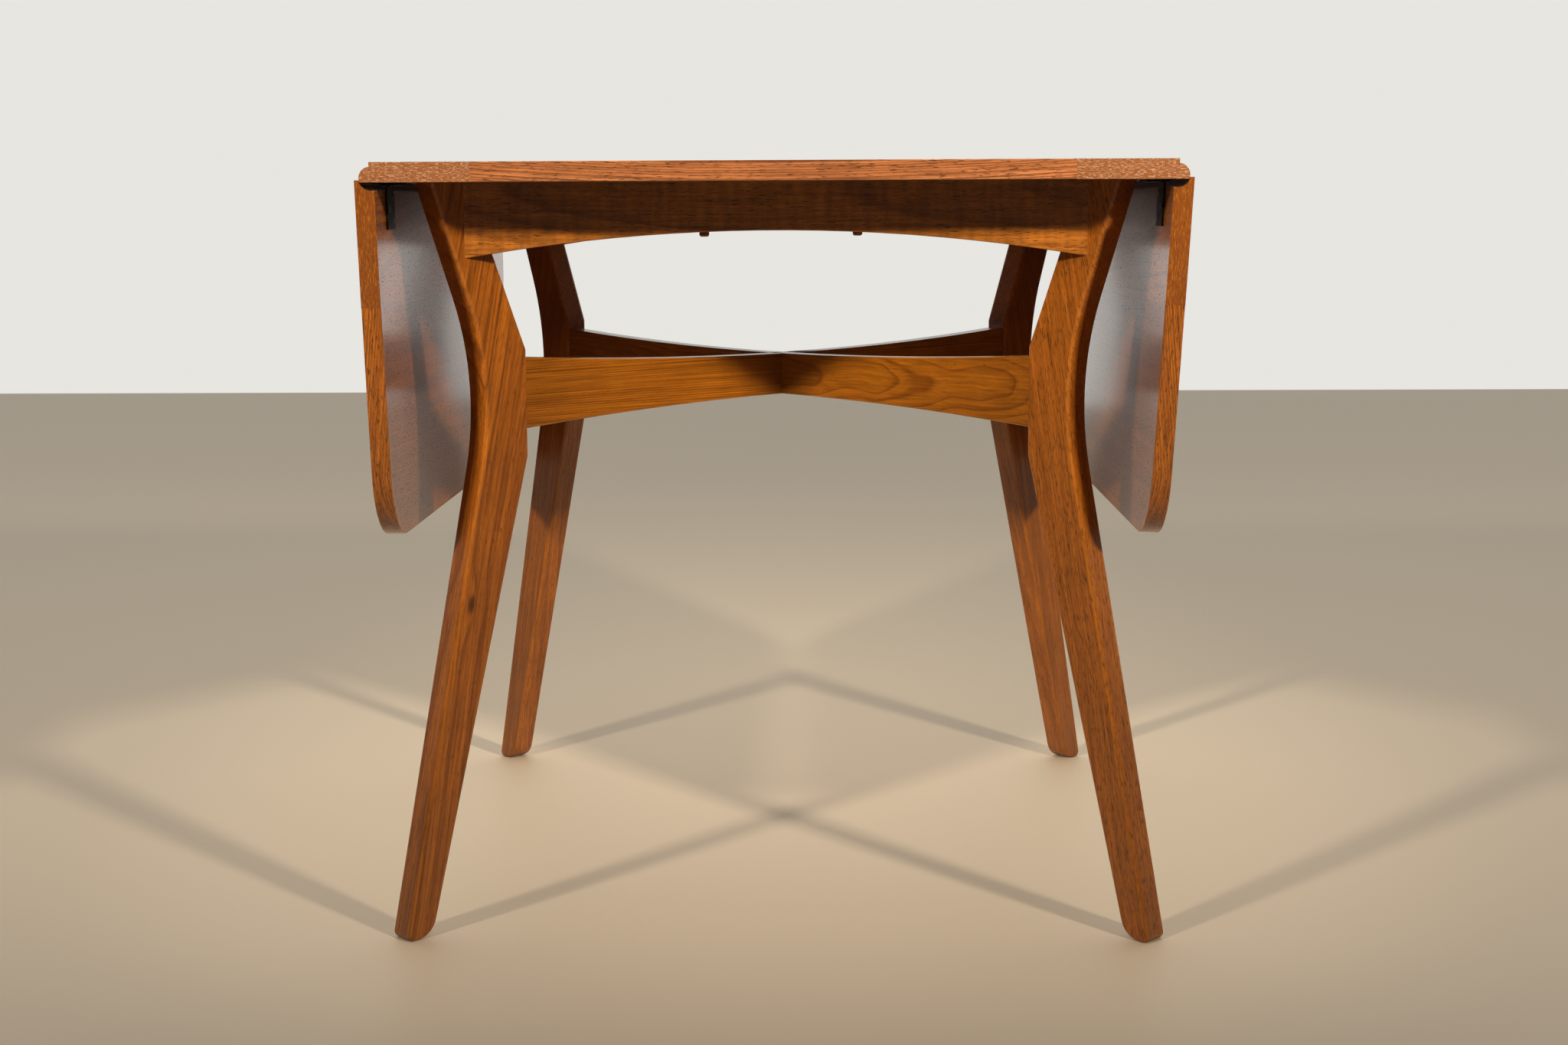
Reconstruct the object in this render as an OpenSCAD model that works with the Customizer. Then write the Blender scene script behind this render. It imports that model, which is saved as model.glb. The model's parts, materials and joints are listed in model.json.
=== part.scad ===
// Drop leaf table on four boomerang legs with crossed stretchers.
// Drawn folded: both leaves hang and both lopers are pushed in.
// +X runs across the leaves, +Y along the hinge lines, +Z up, floor at z = 0.

/* [Top] */
// Height of the top surface above the floor
table_h = 735; // [700:1:780]
// Length across the top with both leaves raised
open_l = 1394; // [1200:1:1600]
// Width of the table along the hinge lines, at its widest
table_w = 800; // [700:5:900]
// Thickness of the top and of the leaves
board_t = 18; // [15:0.5:22]
// Radius of the gentle curve along the front and back of the top
end_r = 6500; // [4000:50:20000]
// Radius of the leaf's outer corners, seen from above
corner_r = 70; // [12:1:90]
// Width of the solid edge lipping round the veneered panels
lip_w = 10; // [4:1:20]
// Width of the solid strip along each side of the fixed top
top_strip_w = 92; // [60:1:120]
// Width of the solid strip along the hinge edge of each leaf
leaf_strip_w = 115; // [60:1:140]

/* [Rule joint] */
// Distance from the table's middle to each hinge line
pivot_x = 362; // [300:1:420]
// Height of the hinge line above the underside of the top
pivot_up = 3.45; // [3:0.05:6]
// Radius of the ovolo on the fixed top
ovolo_r = 10.5; // [8:0.25:12]
// Gap between the ovolo and the cove of the leaf
cove_gap = 0.5; // [0.3:0.05:1]
// Offset of the square step from the hinge line
step_x = 1.05; // [0.5:0.05:2]
// Gap between the two square steps when a leaf is up
step_gap = 0.4; // [0.2:0.05:1]
// Angle from the raised left leaf to where it hangs
leaf_drop_left = 90.7; // [90:0.1:93]
// Angle from the raised right leaf to where it hangs
leaf_drop_right = 92.4; // [90:0.1:93]

/* [Legs] */
// Thickness of the leg planks
leg_t = 28; // [18:0.5:32]
// Distance of the leg's outer edge from the middle, at the top
leg_top_u = 462; // [420:1:500]
// Distance of the leg's inner edge from the middle, at the top
leg_in_u = 392.5; // [370:0.5:400]
// Distance of the outer edge from the middle, carried down to the floor
leg_foot_u = 511; // [470:1:540]
// Distance of the knee's inner edge from the middle
knee_u = 355.5; // [330:0.5:370]
// Height of the upper end of the flat inside the knee
knee_top_z = 558; // [540:1:580]
// Height of the lower end of the flat inside the knee
knee_low_z = 455; // [450:1:490]
// Radius of the curve outside the knee
knee_r = 293; // [200:1:400]
// Height of the point where the inner edge turns straight up
shoulder_z = 650; // [640:1:680]
// Radius of the foot's inner corner
heel_r = 22; // [10:1:26]
// Radius of the foot's outer corner
toe_r = 6; // [3:0.5:8]

/* [Aprons and rails] */
// Distance of the aprons' outer faces from the middle
apron_at = 311; // [290:1:320]
// Thickness of the aprons and side rails
apron_t = 20; // [16:0.5:25]
// Depth of the aprons at their ends
apron_end_h = 70; // [55:1:90]
// Depth of the aprons at the middle of the arch
apron_mid_h = 45; // [35:1:60]
// Radius of the joining dowels
dowel_r = 4; // [3:0.5:6]

/* [Stretchers] */
// Thickness of the crossed stretchers
stretcher_t = 20; // [16:0.5:25]
// Height of the stretchers' top edge at the crossing
stretcher_top_z = 538; // [500:0.5:580]
// Height of the stretchers' bottom edge at the crossing
stretcher_low_z = 494.5; // [460:0.5:520]
// Rise of the top edge from the crossing to a leg
stretcher_rise = 13; // [5:0.5:20]
// Fall of the bottom edge from the crossing to a leg
stretcher_fall = 13; // [5:0.5:20]

/* [Lopers] */
// Width of each loper
loper_w = 37; // [25:1:50]
// Height of each loper
loper_h = 22; // [16:1:30]
// Length of each loper
loper_l = 538; // [480:1:560]
// Distance from the table's middle to a loper's middle, along the hinge lines
loper_y = 22; // [20:1:40]
// Distance from the table's middle to a pull peg
peg_x = 82; // [50:1:120]
// Height of the lower end of the pull pegs above the floor
peg_low_z = 663; // [650:1:680]
// Radius of the pull pegs
peg_r = 5.3; // [4:0.1:8]

/* [Hinges] */
// Distance from the table's middle to each hinge, along the hinge lines
hinge_y = 325; // [250:1:340]
// Width of a hinge along its pin
hinge_w = 34; // [25:1:50]
// Thickness of the hinge plates
plate_t = 2; // [1.5:0.1:3]
// Reach of the long hinge plate from the hinge line
flap_l = 46; // [35:1:60]
// Reach of the short hinge plate from the hinge line
fixed_l = 23; // [18:0.5:26]
// Radius of the hinge knuckles
knuckle_r = 4.6; // [4:0.1:5]
// Radius of the hinge pins
pin_r = 1.5; // [1:0.1:2]

/* [Hidden] */
under_z = table_h - board_t;
pivot_z = under_z + pivot_up;
// square step of the ovolo and of the cove, measured from the middle
step_at = pivot_x + step_x;
leaf_at = step_at + step_gap;
cove_r = ovolo_r + cove_gap;
// joint lines between the panels and the solid strips
top_joint_x = step_at - top_strip_w;
leaf_joint_x = leaf_at + leaf_strip_w;
// the leg planks stand on the diagonals: half of their thickness along X or Y
leg_half = leg_t / sqrt(2);
// the aprons run between the faces of the leg planks
apron_half = apron_at - leg_half;
apron_low_z = under_z - apron_end_h;
apron_mid_z = under_z - apron_mid_h;
arch_rise = apron_end_h - apron_mid_h;
arch_r = (apron_half * apron_half + arch_rise * arch_rise) / (2 * arch_rise);
// slopes of the leg's edges, in distance from the middle per unit of height
leg_up_slope = 0.363;
leg_down_slope = 0.2226;
leg_in_slope = 0.2778;
// lopers and the channels that guide them
slide_gap = 0.4;
loper_top = under_z - slide_gap;
loper_low = loper_top - loper_h;
channel_half = loper_w / 2 + 0.5;
channel_low = loper_low - slide_gap;
guide_half = 30;
guide_y = 56;
keeper_t = 10;
peg_in = 14;
// dowels of the end aprons pass between those of the side rails
apron_dowel_z = [under_z - 15, under_z - 45];
rail_dowel_z = [under_z - 30, under_z - 59.5];
dowel_in_leg = 20;
dowel_in_rail = 22;
fit_gap = 0.1;
// stretcher tenons
tenon_l = 22;
tenon_h = 44;
tenon_t = 10;
// hinge screws and wood screws
screw_r = 1.7;
head_r = 3.6;
head_h = 1.9;
hinge_screw_l = 11;
knuckle_mid_w = 13;
plate_start = 6.6;
pin_gap = 0.06;
// blocks that hold the top to the aprons and rails
block_l = 42;
block_s = 20;
block_at = 165;
block_screw_l = 32;
big_fn = 1440;
fine_fn = 96;
eps = 0.05;
walnut = [0.42, 0.22, 0.13];
teak = [0.52, 0.27, 0.15];
beech = [0.68, 0.45, 0.29];
steel = [0.10, 0.09, 0.09];
bright = [0.55, 0.53, 0.50];

// ---- outline of the raised table, seen from above ----

// centre of the circle that makes the front end of the outline
end_c = [0, end_r - table_w / 2];
// centre of a corner curve: the point corner_r inside the front curve and the free edge
function corner_centre() =
    let (x = open_l / 2 - corner_r, r = end_r - corner_r)
    [x, end_c[1] - sqrt(r * r - x * x)];

// point where a corner curve of radius r round p meets the front curve
function touch(p, r) = p + r * (p - end_c) / norm(p - end_c);

module four_corners() {
    for (m = [0, 1], n = [0, 1]) mirror([m, 0]) mirror([0, n]) children();
}

// the whole outline, moved in by inset all round
module outline(inset = 0) {
    p = corner_centre();
    r = corner_r - inset;
    far = 3 * corner_r;
    // a point inside the corner curve, and the two ends of the curve seen from it
    a = p + [-r, r] / 2;
    t1 = touch(p, r) - a;
    t2 = p + [r, 0] - a;
    difference() {
        intersection() {
            translate(end_c) circle(r = end_r - inset, $fn = big_fn);
            translate(-end_c) circle(r = end_r - inset, $fn = big_fn);
            square([open_l - 2 * inset, table_w], center = true);
        }
        four_corners() polygon([p, touch(p, far), p + [far, -far], p + [far, 0]]);
    }
    four_corners() intersection() {
        translate(p) circle(r = r, $fn = fine_fn);
        polygon([a, a + 3 * t1, p + [far, -far], a + 3 * t2]);
    }
}

// a board's thickness of the outline
module outline_board(inset = 0) {
    translate([0, 0, under_z]) linear_extrude(board_t) outline(inset);
}

// a slab across the whole width, between two distances from the middle
module slab(x0, x1) {
    translate([x0, -table_w / 2, under_z - 1]) cube([x1 - x0, table_w, board_t + 2]);
}

// sweeps a section drawn in X and Z along the hinge line, from y0 to y1
module along_y(y0, y1) {
    translate([0, y1, 0]) rotate([90, 0, 0]) linear_extrude(y1 - y0) children();
}

// ---- screws ----

// countersunk wood screw: head at the origin, point towards +Z
module screw(l, r = screw_r, head = head_r) {
    tip = 2 * r;
    difference() {
        union() {
            cylinder(r1 = head, r2 = r, h = head_h, $fn = 40);
            cylinder(r = r, h = l - tip, $fn = 40);
            translate([0, 0, l - tip]) cylinder(r1 = r, r2 = 0.3, h = tip, $fn = 40);
        }
        translate([-head, -0.4, -1]) cube([2 * head, 0.8, 1.7]);
    }
}

// the hole that takes it
module screw_hole(l, r = screw_r, head = head_r) {
    translate([0, 0, -eps]) cylinder(r1 = head + fit_gap, r2 = r + fit_gap, h = head_h + eps, $fn = 40);
    cylinder(r = r + fit_gap, h = l + fit_gap, $fn = 40);
}

// ---- fixed top ----

module top_panel() {
    color(teak) difference() {
        intersection() {
            outline_board(lip_w);
            slab(-top_joint_x, top_joint_x);
        }
        end_block_screws(true);
        guide_screw_set(true);
    }
}

module top_lipping(front) {
    color(teak) intersection() {
        difference() {
            outline_board();
            translate([0, 0, under_z - 1]) linear_extrude(board_t + 2) outline(lip_w);
        }
        slab(-top_joint_x, top_joint_x);
        translate([-table_w, front ? -table_w : 0, 0]) cube([2 * table_w, table_w, table_h]);
    }
}

// the ovolo and its square step, in section
module ovolo_section() {
    translate([top_joint_x, under_z]) square([step_at - top_joint_x, board_t]);
    intersection() {
        translate([pivot_x, pivot_z]) circle(r = ovolo_r, $fn = fine_fn);
        translate([pivot_x, under_z]) square([2 * ovolo_r, board_t]);
    }
}

// the groove that lets a hinge's knuckles into the ovolo
module knuckle_groove() {
    groove_r = plate_t + pivot_up + 0.85;
    for (y = [-hinge_y, hinge_y]) along_y(y - hinge_w / 2 - 0.6, y + hinge_w / 2 + 0.6) {
        translate([pivot_x, pivot_z]) circle(r = groove_r, $fn = 60);
        translate([pivot_x - groove_r, under_z - 1]) square([2 * groove_r, pivot_up + 1]);
    }
}

module top_strip_right() {
    color(teak) difference() {
        intersection() {
            outline_board();
            along_y(-table_w / 2, table_w / 2) ovolo_section();
        }
        knuckle_groove();
        for (y = [-hinge_y, hinge_y]) translate([0, y, 0]) plate_screws(true);
        side_block_screws(true);
    }
}

// ---- legs ----

function unit(v) = v / norm(v);

// what a rounding of radius r takes off a corner p, whose edges run along a and b
module corner_waste(p, a, b, r) {
    half = acos(a * b) / 2;
    l = r / tan(half);
    difference() {
        polygon([p + a * l, p + a * l - b, p - a - b, p + b * l - a, p + b * l]);
        translate(p + unit(a + b) * r / sin(half)) circle(r = r, $fn = fine_fn);
    }
}

// side view of a leg: distance from the table's middle, and height
module leg_profile() {
    up = atan(leg_up_slope);
    down = atan(leg_down_slope);
    // the two straight parts of the outer edge would meet here
    vz = (leg_foot_u - leg_top_u + leg_up_slope * under_z) / (leg_up_slope + leg_down_slope);
    v = [leg_foot_u - leg_down_slope * vz, vz];
    l = knee_r * tan((up + down) / 2);
    t1 = v + l * [sin(up), cos(up)];
    t2 = v + l * [sin(down), -cos(down)];
    toe = [leg_foot_u, 0];
    heel = [knee_u + leg_in_slope * knee_low_z, 0];
    difference() {
        polygon([[leg_in_u, under_z], [leg_top_u, under_z], t1, t2, toe, heel,
            [knee_u, knee_low_z], [knee_u, knee_top_z], [leg_in_u, shoulder_z]]);
        translate(t1 + knee_r * [cos(up), -sin(up)]) circle(r = knee_r, $fn = 720);
        corner_waste(toe, [-1, 0], unit([-leg_down_slope, 1]), toe_r);
        corner_waste(heel, [1, 0], unit([-leg_in_slope, 1]), heel_r);
    }
}

// stands a profile upright in the vertical plane at angle a, t thick
module upright(a, t) {
    rotate([0, 0, a]) rotate([90, 0, 0]) translate([0, 0, -t / 2]) linear_extrude(t) children();
}

module leg(a) {
    color(walnut) difference() {
        upright(a, leg_t) leg_profile();
        upright(a, tenon_t + fit_gap) translate([knee_u - 1, tenon_z() - tenon_h / 2 - fit_gap / 2])
            square([tenon_l + 1 + fit_gap, tenon_h + fit_gap]);
        dowel_set(dowel_r + fit_gap, fit_gap);
    }
}

// ---- aprons and side rails ----

// an arched board between two legs, drawn along the front
module arched_rail() {
    low = apron_low_z - 1;
    intersection() {
        translate([0, -apron_at + apron_t, 0]) rotate([90, 0, 0]) linear_extrude(apron_t) difference() {
            translate([-apron_half, low]) square([2 * apron_half, under_z - low]);
            translate([0, apron_mid_z - arch_r]) circle(r = arch_r, $fn = big_fn);
        }
        // mitred ends against the faces of the leg planks
        translate([0, 0, low - 1]) linear_extrude(apron_end_h + 2) polygon([
            [-apron_half, -apron_at], [apron_half, -apron_at],
            [apron_half - apron_t, -apron_at + apron_t], [apron_t - apron_half, -apron_at + apron_t]]);
    }
}

// dowels of all eight joints: two at each end of each rail
module dowel_set(r, extra = 0) {
    at = apron_half - apron_t / 2;
    for (q = [0:3], s = [-1, 1], z = q % 2 == 0 ? apron_dowel_z : rail_dowel_z)
        rotate([0, 0, 90 * q]) translate([s * at, -apron_at + apron_t / 2, z])
            rotate([0, 90 * s, 0]) translate([0, 0, -dowel_in_rail - extra])
                cylinder(r = r, h = dowel_in_rail + dowel_in_leg + 2 * extra, $fn = 48);
}

module rail_dowels() { color(beech) dowel_set(dowel_r); }

module apron(a) {
    color(walnut) difference() {
        rotate([0, 0, a]) arched_rail();
        dowel_set(dowel_r + fit_gap, fit_gap);
        end_block_screws(true);
    }
}

module rail(a) {
    color(walnut) difference() {
        rotate([0, 0, a]) arched_rail();
        dowel_set(dowel_r + fit_gap, fit_gap);
        side_block_screws(true);
        loper_channels();
    }
}

// ---- stretchers ----

function tenon_z() = (stretcher_top_z + stretcher_low_z) / 2;

module stretcher_profile() {
    top_r = (knee_u * knee_u + stretcher_rise * stretcher_rise) / (2 * stretcher_rise);
    low_r = (knee_u * knee_u + stretcher_fall * stretcher_fall) / (2 * stretcher_fall);
    low = stretcher_low_z - 2 * stretcher_fall;
    high = stretcher_top_z + 2 * stretcher_rise;
    difference() {
        translate([-knee_u, low]) square([2 * knee_u, high - low]);
        translate([0, stretcher_top_z + top_r]) circle(r = top_r, $fn = big_fn);
        translate([0, stretcher_low_z - low_r]) circle(r = low_r, $fn = big_fn);
    }
}

// one of the two crossed boards; notched above or below for the other
module stretcher(a, notch_above) {
    color(teak) difference() {
        union() {
            upright(a, stretcher_t) stretcher_profile();
            for (s = [0, 180]) upright(a + s, tenon_t)
                translate([knee_u - 10, tenon_z() - tenon_h / 2]) square([tenon_l + 10, tenon_h]);
        }
        upright(a, stretcher_t + 2) translate([-stretcher_t / 2 - eps / 2, notch_above ? tenon_z() : 0])
            square([stretcher_t + eps, tenon_z()]);
    }
}

// ---- blocks and screws that hold the top down ----

module end_block_screws(hole = false) {
    for (sx = [-1, 1], sy = [-1, 1]) block_screw_pair(sx, sy, 0, hole);
}

module side_block_screws(hole = false) {
    for (sx = [-1, 1], sy = [-1, 1]) block_screw_pair(sx, sy, 90, hole);
}

// one screw up into the top and one out into the rail
module block_screw_pair(sx, sy, a, hole) {
    in = apron_at - apron_t;
    rotate([0, 0, a]) {
        translate([sx * (block_at + 9), sy * (in - block_s / 2), under_z - block_s])
            if (hole) screw_hole(block_screw_l); else screw(block_screw_l);
        translate([sx * (block_at - 9), sy * (in - block_s), under_z - block_s / 2])
            rotate([-90 * sy, 0, 0])
                if (hole) screw_hole(block_screw_l); else screw(block_screw_l);
    }
}

module fixing_blocks() {
    color(beech) difference() {
        for (a = [0, 90], sx = [-1, 1], sy = [-1, 1]) rotate([0, 0, a])
            translate([sx * block_at - block_l / 2,
                sy * (apron_at - apron_t - block_s / 2) - block_s / 2, under_z - block_s])
                cube([block_l, block_s, block_s]);
        end_block_screws(true);
        side_block_screws(true);
    }
}

module fixing_screws() {
    color(bright) { end_block_screws(); side_block_screws(); }
}

// ---- lopers and their guide ----

// the space that both lopers slide through, cut into the rails
module loper_channels() {
    for (s = [-1, 1]) translate([s > 0 ? 0 : -table_w / 2, s * loper_y - channel_half, channel_low])
        cube([table_w / 2, 2 * channel_half, under_z - channel_low + 1]);
}

module guide_spacers() {
    h = under_z - channel_low;
    inner = loper_y - channel_half;
    outer = loper_y + channel_half;
    color(beech) difference() {
        translate([-guide_half, 0, channel_low]) {
            translate([0, -inner, 0]) cube([2 * guide_half, 2 * inner, h]);
            translate([0, outer, 0]) cube([2 * guide_half, guide_y - outer, h]);
            translate([0, -guide_y, 0]) cube([2 * guide_half, guide_y - outer, h]);
        }
        guide_screw_set(true);
    }
}

module guide_keeper() {
    color(beech) difference() {
        translate([-guide_half, -guide_y, channel_low - keeper_t])
            cube([2 * guide_half, 2 * guide_y, keeper_t]);
        guide_screw_set(true);
    }
}

module guide_screw_set(hole = false) {
    l = keeper_t + under_z - channel_low + 12;
    y = (guide_y + loper_y + channel_half) / 2;
    for (sx = [-1, 1], sy = [-1, 1])
        translate([sx * 20, sy * y, channel_low - keeper_t])
            if (hole) screw_hole(l); else screw(l);
}

module guide_screws() { color(bright) guide_screw_set(); }

// the left leaf's loper; its outer end is flush with the side rail
module loper_bar() {
    chamfer = 4;
    difference() {
        translate([-apron_at, 0, 0]) along_y(-loper_y - loper_w / 2, -loper_y + loper_w / 2)
            polygon([[0, loper_top], [loper_l, loper_top], [loper_l, loper_low],
                [chamfer, loper_low], [0, loper_low + chamfer]]);
        translate([-peg_x, -loper_y, loper_low - 1])
            cylinder(r = peg_r + fit_gap, h = peg_in + 1 + fit_gap, $fn = 48);
    }
}

module loper_peg() {
    chamfer = 1.6;
    translate([-peg_x, -loper_y, peg_low_z]) {
        cylinder(r1 = peg_r - chamfer, r2 = peg_r, h = chamfer, $fn = 48);
        translate([0, 0, chamfer]) cylinder(r = peg_r, h = loper_low + peg_in - peg_low_z - chamfer, $fn = 48);
    }
}

// ---- leaves ----

// turns a raised right leaf down to where one side's leaf hangs, and moves it to that side
module hang(side) {
    drop = side < 0 ? leaf_drop_left : leaf_drop_right;
    mirror([side < 0 ? 1 : 0, 0, 0]) translate([pivot_x, 0, pivot_z]) rotate([0, drop, 0])
        translate([-pivot_x, 0, -pivot_z]) children();
}

module leaf_strip(side) {
    color(teak) hang(side) difference() {
        intersection() {
            outline_board();
            along_y(-table_w / 2, table_w / 2) difference() {
                translate([leaf_at, under_z]) square([leaf_strip_w, board_t]);
                translate([pivot_x, pivot_z]) circle(r = cove_r, $fn = fine_fn);
            }
        }
        for (y = [-hinge_y, hinge_y]) translate([0, y, 0]) flap_screws(true);
    }
}

module leaf_panel(side) {
    color(teak) hang(side) intersection() {
        outline_board(lip_w);
        slab(leaf_joint_x, open_l);
    }
}

module leaf_lipping(side) {
    color(teak) hang(side) intersection() {
        difference() {
            outline_board();
            translate([0, 0, under_z - 1]) linear_extrude(board_t + 2) outline(lip_w);
        }
        slab(leaf_joint_x, open_l);
    }
}

// ---- hinges, drawn at the right hinge line as if the leaf were up ----

knuckle_side_w = (hinge_w - knuckle_mid_w) / 2 - 0.3;

// bored knuckle from y0 to y1, with the tongue that joins it to its plate
module knuckle(y0, y1, bore, tongue) {
    difference() {
        along_y(y0, y1) {
            translate([pivot_x, pivot_z]) circle(r = knuckle_r, $fn = 60);
            translate([pivot_x + (tongue < 0 ? tongue : 0), under_z - plate_t])
                square([abs(tongue), plate_t]);
        }
        along_y(y0 - 1, y1 + 1) translate([pivot_x, pivot_z]) circle(r = bore, $fn = 60);
    }
}

plate_holes = [[14.8, -10], [14.8, 10]];
flap_holes = [[16, 9], [27, -5], [38, 9]];

module screws_at(holes, side, hole) {
    for (p = holes) translate([pivot_x + side * p[0], p[1], under_z - plate_t])
        if (hole) screw_hole(hinge_screw_l); else screw(hinge_screw_l);
}

module plate_screws(hole = false) { screws_at(plate_holes, -1, hole); }

module flap_screws(hole = false) { screws_at(flap_holes, 1, hole); }

// the short plate, under the fixed top
module hinge_plate() {
    color(steel) difference() {
        union() {
            translate([pivot_x - fixed_l, -hinge_w / 2, under_z - plate_t])
                cube([fixed_l - plate_start, hinge_w, plate_t]);
            knuckle(-hinge_w / 2, -hinge_w / 2 + knuckle_side_w, pin_r + pin_gap / 2, -plate_start - eps);
            knuckle(hinge_w / 2 - knuckle_side_w, hinge_w / 2, pin_r + pin_gap / 2, -plate_start - eps);
        }
        plate_screws(true);
    }
}

// the long plate, on the inner face of the leaf
module hinge_flap() {
    color(steel) difference() {
        union() {
            translate([pivot_x + plate_start, -hinge_w / 2, under_z - plate_t])
                cube([flap_l - plate_start, hinge_w, plate_t]);
            knuckle(-knuckle_mid_w / 2, knuckle_mid_w / 2, pin_r + pin_gap, plate_start + eps);
        }
        flap_screws(true);
    }
}

module hinge_pin() {
    color(steel) along_y(-hinge_w / 2, hinge_w / 2)
        translate([pivot_x, pivot_z]) circle(r = pin_r, $fn = 60);
}

module at_hinge(side, end) {
    mirror([side < 0 ? 1 : 0, 0, 0]) translate([0, end * hinge_y, 0]) children();
}

module hinge_plate_screws() {
    color(bright) for (s = [-1, 1], e = [-1, 1]) at_hinge(s, e) plate_screws();
}

module flap_screws_on(side) {
    color(bright) hang(side) for (e = [-1, 1]) translate([0, e * hinge_y, 0]) flap_screws();
}

module flap_at(side, end) {
    hang(side) translate([0, end * hinge_y, 0]) hinge_flap();
}

// ---- nodes ----

module top_strip_left() { mirror([1, 0, 0]) top_strip_right(); }
module top_lipping_front() { top_lipping(true); }
module top_lipping_back() { top_lipping(false); }
module leg_front_left() { leg(225); }
module leg_front_right() { leg(315); }
module leg_back_left() { leg(135); }
module leg_back_right() { leg(45); }
module apron_front() { apron(0); }
module apron_back() { apron(180); }
module rail_left() { rail(270); }
module rail_right() { rail(90); }
module stretcher_lower() { stretcher(45, true); }
module stretcher_upper() { stretcher(135, false); }
module hinge_plate_left_front() { at_hinge(-1, -1) hinge_plate(); }
module hinge_plate_left_back() { at_hinge(-1, 1) hinge_plate(); }
module hinge_plate_right_front() { at_hinge(1, -1) hinge_plate(); }
module hinge_plate_right_back() { at_hinge(1, 1) hinge_plate(); }
module hinge_pin_left_front() { at_hinge(-1, -1) hinge_pin(); }
module hinge_pin_left_back() { at_hinge(-1, 1) hinge_pin(); }
module hinge_pin_right_front() { at_hinge(1, -1) hinge_pin(); }
module hinge_pin_right_back() { at_hinge(1, 1) hinge_pin(); }
module leaf_panel_left() { leaf_panel(-1); }
module leaf_panel_right() { leaf_panel(1); }
module leaf_strip_left() { leaf_strip(-1); }
module leaf_strip_right() { leaf_strip(1); }
module leaf_lipping_left() { leaf_lipping(-1); }
module leaf_lipping_right() { leaf_lipping(1); }
module hinge_flap_left_front() { flap_at(-1, -1); }
module hinge_flap_left_back() { flap_at(-1, 1); }
module hinge_flap_right_front() { flap_at(1, -1); }
module hinge_flap_right_back() { flap_at(1, 1); }
module flap_screws_left() { flap_screws_on(-1); }
module flap_screws_right() { flap_screws_on(1); }
module loper_left() { color(beech) loper_bar(); }
module loper_peg_left() { color(walnut) loper_peg(); }
module loper_right() { color(beech) rotate([0, 0, 180]) loper_bar(); }
module loper_peg_right() { color(walnut) rotate([0, 0, 180]) loper_peg(); }

top_panel();
top_strip_left();
top_strip_right();
top_lipping_front();
top_lipping_back();
leg_front_left();
leg_front_right();
leg_back_left();
leg_back_right();
apron_front();
apron_back();
rail_left();
rail_right();
stretcher_lower();
stretcher_upper();
rail_dowels();
fixing_blocks();
fixing_screws();
guide_spacers();
guide_keeper();
guide_screws();
hinge_plate_left_front();
hinge_plate_left_back();
hinge_plate_right_front();
hinge_plate_right_back();
hinge_pin_left_front();
hinge_pin_left_back();
hinge_pin_right_front();
hinge_pin_right_back();
hinge_plate_screws();
leaf_panel_left();
leaf_strip_left();
leaf_lipping_left();
hinge_flap_left_front();
hinge_flap_left_back();
flap_screws_left();
leaf_panel_right();
leaf_strip_right();
leaf_lipping_right();
hinge_flap_right_front();
hinge_flap_right_back();
flap_screws_right();
loper_left();
loper_peg_left();
loper_right();
loper_peg_right();
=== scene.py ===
import json
import math
from functools import partial
import bmesh
import bpy
from mathutils import Euler, Matrix, Vector
from mathutils.bvhtree import BVHTree

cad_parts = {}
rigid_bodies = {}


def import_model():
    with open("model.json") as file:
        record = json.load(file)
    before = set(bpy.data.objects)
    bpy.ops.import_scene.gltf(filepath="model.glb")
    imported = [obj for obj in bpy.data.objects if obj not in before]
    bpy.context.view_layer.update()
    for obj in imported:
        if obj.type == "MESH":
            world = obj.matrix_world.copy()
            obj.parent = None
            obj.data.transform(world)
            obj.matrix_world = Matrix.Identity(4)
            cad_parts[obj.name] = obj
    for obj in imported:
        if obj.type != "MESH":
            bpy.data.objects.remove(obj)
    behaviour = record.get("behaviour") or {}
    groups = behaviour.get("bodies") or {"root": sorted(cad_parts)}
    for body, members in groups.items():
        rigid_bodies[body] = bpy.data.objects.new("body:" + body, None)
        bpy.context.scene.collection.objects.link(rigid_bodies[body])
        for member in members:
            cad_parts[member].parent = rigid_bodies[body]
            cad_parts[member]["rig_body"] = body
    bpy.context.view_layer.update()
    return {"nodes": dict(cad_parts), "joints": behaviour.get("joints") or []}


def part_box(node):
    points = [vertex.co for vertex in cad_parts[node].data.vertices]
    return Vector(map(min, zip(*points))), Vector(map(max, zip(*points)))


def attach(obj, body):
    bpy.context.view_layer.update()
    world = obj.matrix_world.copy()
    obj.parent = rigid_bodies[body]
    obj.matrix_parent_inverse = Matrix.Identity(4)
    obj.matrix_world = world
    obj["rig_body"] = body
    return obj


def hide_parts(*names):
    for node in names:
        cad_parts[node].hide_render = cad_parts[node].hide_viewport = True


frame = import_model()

nodes = frame["nodes"]
mm = 0.001
print("frame loaded:", len(nodes), "nodes")


# small helpers

def linear(code):
    # an sRGB hex colour as the linear colour a shader socket wants
    parts = [int(code[i:i + 2], 16) / 255 for i in (1, 3, 5)]
    return [c / 12.92 if c <= 0.04045 else ((c + 0.055) / 1.055) ** 2.4 for c in parts] + [1.0]


def addNode(tree, kind, links=None, values=None, **settings):
    node = tree.nodes.new(kind)
    for key, value in settings.items():
        setattr(node, key, value)
    for key, value in (values or {}).items():
        node.inputs[key].default_value = value
    for key, source in (links or {}).items():
        tree.links.new(source, node.inputs[key])
    return node


def setRamp(ramp, stops):
    # stops are (place, grey value or hex colour)
    while len(ramp.elements) < len(stops):
        ramp.elements.new(0.5)
    for element, (place, value) in zip(ramp.elements, stops):
        element.position = place
        element.color = linear(value) if isinstance(value, str) else (value, value, value, 1)


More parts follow.
